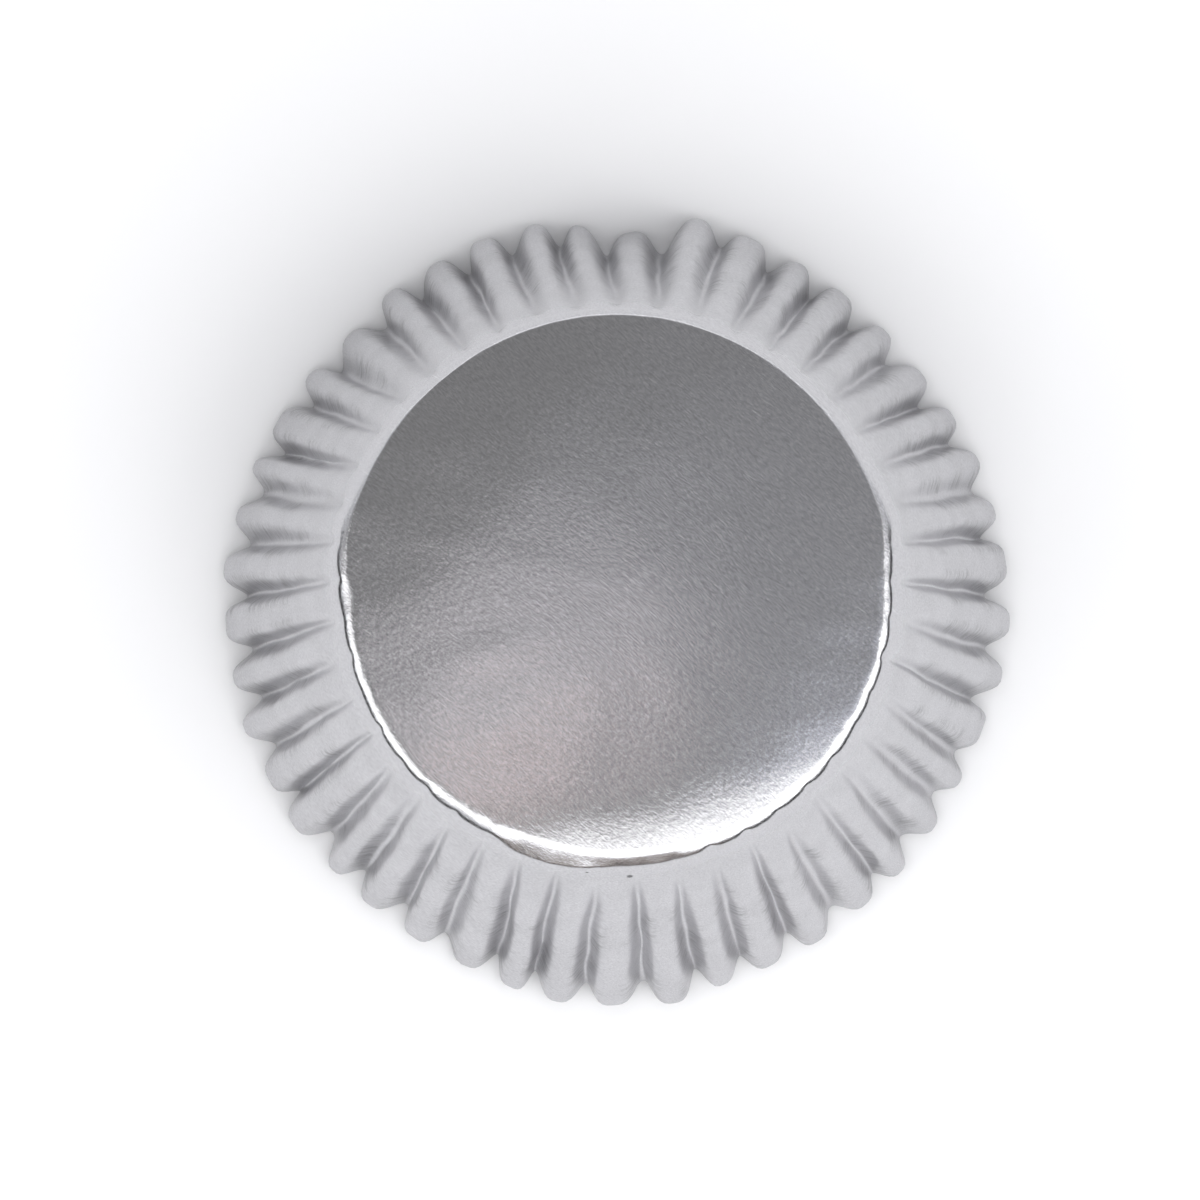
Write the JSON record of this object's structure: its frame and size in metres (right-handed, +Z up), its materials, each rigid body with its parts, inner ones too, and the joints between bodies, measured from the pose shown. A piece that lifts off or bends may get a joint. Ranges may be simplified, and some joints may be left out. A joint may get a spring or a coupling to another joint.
{
  "type": "cupcake liner",
  "caption": "Round fluted foil liner cup with a flat base, standing upside down on its wavy rim.",
  "frame": {"origin": "centre of the rim, on the plane that the rim's lowest folds stand on", "axes": "+Z up along the cup's axis, from the open rim to the base; +Y to the back of the picture, +X to its right"},
  "size_m": [0.075, 0.0749, 0.0301],
  "materials": {
    "foil": "satin"
  },
  "bodies": {
    "root": {"liner": "foil"}
  },
  "joints": []
}
